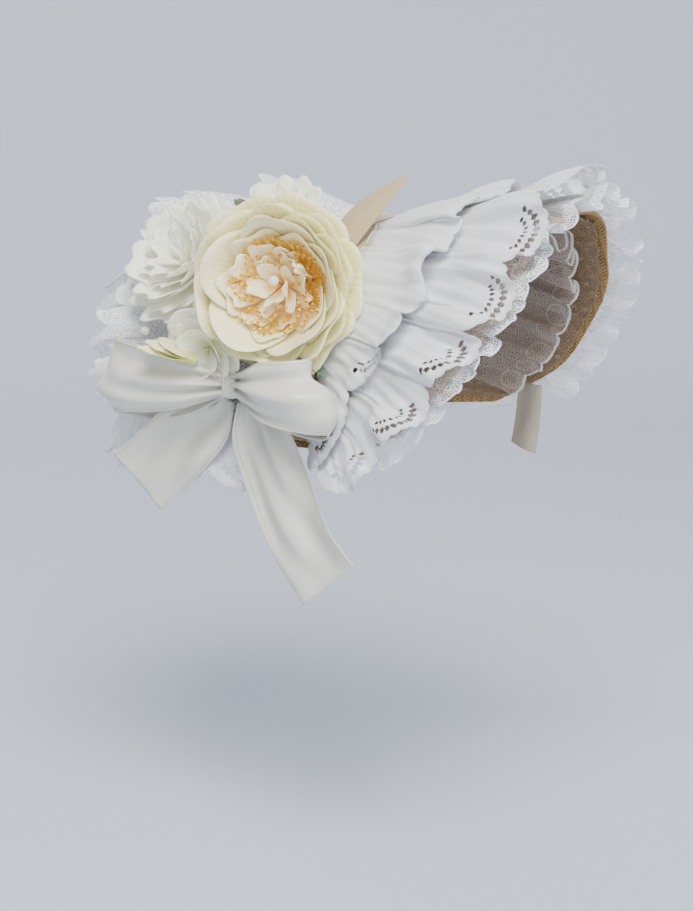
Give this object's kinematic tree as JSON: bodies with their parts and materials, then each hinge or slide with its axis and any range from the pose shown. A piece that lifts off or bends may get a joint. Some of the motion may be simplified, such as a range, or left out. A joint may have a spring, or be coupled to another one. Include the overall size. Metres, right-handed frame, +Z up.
{
  "type": "poke bonnet",
  "caption": "Straw poke bonnet with a deep flared brim, gathered eyelet and lace frills, silk flowers, leaves, pearls and a satin bow on the wearer's right.",
  "frame": {"origin": "top of the head, where it meets the inside of the crown", "axes": "+Z up, the wearer faces -Y, the wearer's right side, with the flowers and the bow, is -X"},
  "size_m": [0.2971, 0.3865, 0.2887],
  "materials": {
    "band_point": "tan woven cloth",
    "base_frill": "white cotton eyelet",
    "bow_knot": "ivory satin",
    "bow_loop_back": "ivory satin",
    "bow_loop_front": "ivory satin",
    "bow_tail_long": "ivory satin",
    "bow_tail_short": "ivory satin",
    "brim": "woven straw",
    "brim_lining": "net lace",
    "bud_petal": "silk petals",
    "crown": "woven straw",
    "crown_frill_back": "white lace and tulle",
    "crown_frill_middle": "white lace and tulle",
    "crown_frill_top": "white lace and tulle",
    "eyelet_frill": "white cotton eyelet",
    "far_streamer": "satin",
    "leaf_1": "cloth leaf",
    "leaf_2": "cloth leaf",
    "leaf_3": "cloth leaf",
    "lining_frill": "net lace",
    "pale_flower_inner_petals": "silk petals",
    "pale_flower_outer_petals": "silk petals",
    "peony_heart": "silk petals",
    "peony_inner_petals": "silk petals",
    "peony_middle_petals": "silk petals",
    "peony_outer_petals": "silk petals",
    "peony_pearl": "pearl",
    "rim_lace": "white lace and tulle",
    "side_pearl": "pearl",
    "small_flower_petals": "silk petals",
    "tan_band": "tan woven cloth",
    "upper_eyelet_frill": "white cotton eyelet"
  },
  "bodies": {
    "root": {"band_point": "band_point", "base_frill": "base_frill", "bow_knot": "bow_knot", "bow_loop_back": "bow_loop_back", "bow_loop_front": "bow_loop_front", "bow_tail_long": "bow_tail_long", "bow_tail_short": "bow_tail_short", "brim": "brim", "brim_lining": "brim_lining", "bud_petal": "bud_petal", "crown": "crown", "crown_frill_back": "crown_frill_back", "crown_frill_middle": "crown_frill_middle", "crown_frill_top": "crown_frill_top", "eyelet_frill": "eyelet_frill", "far_streamer": "far_streamer", "leaf_1": "leaf_1", "leaf_2": "leaf_2", "leaf_3": "leaf_3", "lining_frill": "lining_frill", "pale_flower_inner_petals": "pale_flower_inner_petals", "pale_flower_outer_petals": "pale_flower_outer_petals", "peony_heart": "peony_heart", "peony_inner_petals": "peony_inner_petals", "peony_middle_petals": "peony_middle_petals", "peony_outer_petals": "peony_outer_petals", "peony_pearl": "peony_pearl", "rim_lace": "rim_lace", "side_pearl": "side_pearl", "small_flower_petals": "small_flower_petals", "tan_band": "tan_band", "upper_eyelet_frill": "upper_eyelet_frill"}
  },
  "joints": []
}
